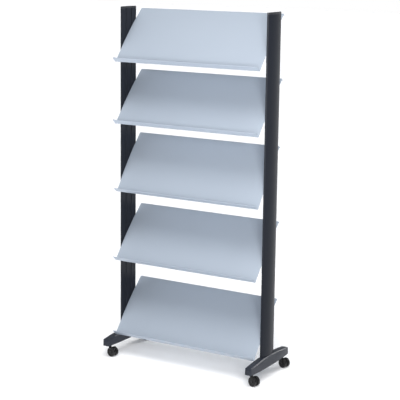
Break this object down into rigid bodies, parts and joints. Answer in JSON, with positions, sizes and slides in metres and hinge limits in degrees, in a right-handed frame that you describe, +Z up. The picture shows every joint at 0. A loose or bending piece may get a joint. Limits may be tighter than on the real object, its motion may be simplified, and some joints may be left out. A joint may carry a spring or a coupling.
{
  "type": "newspaper rack",
  "caption": "Mobile newspaper and magazine rack: sloping curved shelves with front lips between two slotted uprights on boat-shaped feet with twin-wheel casters.",
  "frame": {"origin": "on the floor under the middle of the rack, midway between the two uprights and between the front and rear casters", "axes": "+Z up, +X to the rack's right-hand side as seen by a reader in front of it, and the front, with the shelf lips, faces -Y"},
  "size_m": [0.8357, 0.374, 1.655],
  "materials": {
    "upright_coat": "anthracite coating on extruded aluminium, satin",
    "cap_plastic": "fine-grained black moulding",
    "foot_plastic": "dark grey moulding with a fine spark texture",
    "shelf_paint": "silver-blue powder coat on sheet steel, satin",
    "bracket_paint": "silver-blue powder coat on bent steel",
    "zinc_plate": "bright zinc plating",
    "black_oxide": "blackened steel, satin",
    "caster_plastic": "black nylon",
    "wheel_plastic": "black nylon, polished by rolling"
  },
  "bodies": {
    "rack": {"left_upright": "upright_coat", "right_upright": "upright_coat", "left_top_cap": "cap_plastic", "right_top_cap": "cap_plastic", "left_foot": "foot_plastic", "right_foot": "foot_plastic", "left_foot_bolts": "zinc_plate", "right_foot_bolts": "zinc_plate", "left_slot_nuts": "zinc_plate", "right_slot_nuts": "zinc_plate", "shelf_1": "shelf_paint", "shelf_2": "shelf_paint", "shelf_3": "shelf_paint", "shelf_4": "shelf_paint", "shelf_5": "shelf_paint", "shelf_1_left_bracket": "bracket_paint", "shelf_2_left_bracket": "bracket_paint", "shelf_3_left_bracket": "bracket_paint", "shelf_4_left_bracket": "bracket_paint", "shelf_5_left_bracket": "bracket_paint", "shelf_1_right_bracket": "bracket_paint", "shelf_2_right_bracket": "bracket_paint", "shelf_3_right_bracket": "bracket_paint", "shelf_4_right_bracket": "bracket_paint", "shelf_5_right_bracket": "bracket_paint", "shelf_1_fixings": "zinc_plate", "shelf_2_fixings": "zinc_plate", "shelf_3_fixings": "zinc_plate", "shelf_4_fixings": "zinc_plate", "shelf_5_fixings": "zinc_plate", "front_left_caster_socket": "zinc_plate", "front_right_caster_socket": "zinc_plate", "rear_left_caster_socket": "zinc_plate", "rear_right_caster_socket": "zinc_plate"},
    "front_left_swivel": {"front_left_caster_stem": "zinc_plate", "front_left_caster_body": "caster_plastic", "front_left_caster_axle": "black_oxide"},
    "front_left_front_wheel": {"front_left_wheel_front": "wheel_plastic"},
    "front_left_rear_wheel": {"front_left_wheel_rear": "wheel_plastic"},
    "front_right_swivel": {"front_right_caster_stem": "zinc_plate", "front_right_caster_body": "caster_plastic", "front_right_caster_axle": "black_oxide"},
    "front_right_front_wheel": {"front_right_wheel_front": "wheel_plastic"},
    "front_right_rear_wheel": {"front_right_wheel_rear": "wheel_plastic"},
    "rear_left_swivel": {"rear_left_caster_stem": "zinc_plate", "rear_left_caster_body": "caster_plastic", "rear_left_caster_axle": "black_oxide"},
    "rear_left_front_wheel": {"rear_left_wheel_front": "wheel_plastic"},
    "rear_left_rear_wheel": {"rear_left_wheel_rear": "wheel_plastic"},
    "rear_right_swivel": {"rear_right_caster_stem": "zinc_plate", "rear_right_caster_body": "caster_plastic", "rear_right_caster_axle": "black_oxide"},
    "rear_right_front_wheel": {"rear_right_wheel_front": "wheel_plastic"},
    "rear_right_rear_wheel": {"rear_right_wheel_rear": "wheel_plastic"}
  },
  "joints": [
    {"name": "front_left_swing", "type": "hinge", "parent": "rack", "child": "front_left_swivel", "pos_m": [-0.3835, -0.15, 0.055], "axis": [0, 0, 1], "continuous": true},
    {"name": "front_left_front_roll", "type": "hinge", "parent": "front_left_swivel", "child": "front_left_front_wheel", "pos_m": [-0.36583, -0.15343, 0.022], "axis": [0.1908, 0.9816, 0], "continuous": true},
    {"name": "front_left_rear_roll", "type": "hinge", "parent": "front_left_swivel", "child": "front_left_rear_wheel", "pos_m": [-0.36583, -0.15343, 0.022], "axis": [0.1908, 0.9816, 0], "continuous": true},
    {"name": "front_right_swing", "type": "hinge", "parent": "rack", "child": "front_right_swivel", "pos_m": [0.3835, -0.15, 0.055], "axis": [0, 0, 1], "continuous": true},
    {"name": "front_right_front_roll", "type": "hinge", "parent": "front_right_swivel", "child": "front_right_front_wheel", "pos_m": [0.40041, -0.15616, 0.022], "axis": [0.342, 0.9397, 0], "continuous": true},
    {"name": "front_right_rear_roll", "type": "hinge", "parent": "front_right_swivel", "child": "front_right_rear_wheel", "pos_m": [0.40041, -0.15616, 0.022], "axis": [0.342, 0.9397, 0], "continuous": true},
    {"name": "rear_left_swing", "type": "hinge", "parent": "rack", "child": "rear_left_swivel", "pos_m": [-0.3835, 0.15, 0.055], "axis": [0, 0, 1], "continuous": true},
    {"name": "rear_left_front_roll", "type": "hinge", "parent": "rear_left_swivel", "child": "rear_left_front_wheel", "pos_m": [-0.36583, 0.14657, 0.022], "axis": [0.1908, 0.9816, 0], "continuous": true},
    {"name": "rear_left_rear_roll", "type": "hinge", "parent": "rear_left_swivel", "child": "rear_left_rear_wheel", "pos_m": [-0.36583, 0.14657, 0.022], "axis": [0.1908, 0.9816, 0], "continuous": true},
    {"name": "rear_right_swing", "type": "hinge", "parent": "rack", "child": "rear_right_swivel", "pos_m": [0.3835, 0.15, 0.055], "axis": [0, 0, 1], "continuous": true},
    {"name": "rear_right_front_roll", "type": "hinge", "parent": "rear_right_swivel", "child": "rear_right_front_wheel", "pos_m": [0.40041, 0.14384, 0.022], "axis": [0.342, 0.9397, 0], "continuous": true},
    {"name": "rear_right_rear_roll", "type": "hinge", "parent": "rear_right_swivel", "child": "rear_right_rear_wheel", "pos_m": [0.40041, 0.14384, 0.022], "axis": [0.342, 0.9397, 0], "continuous": true}
  ]
}
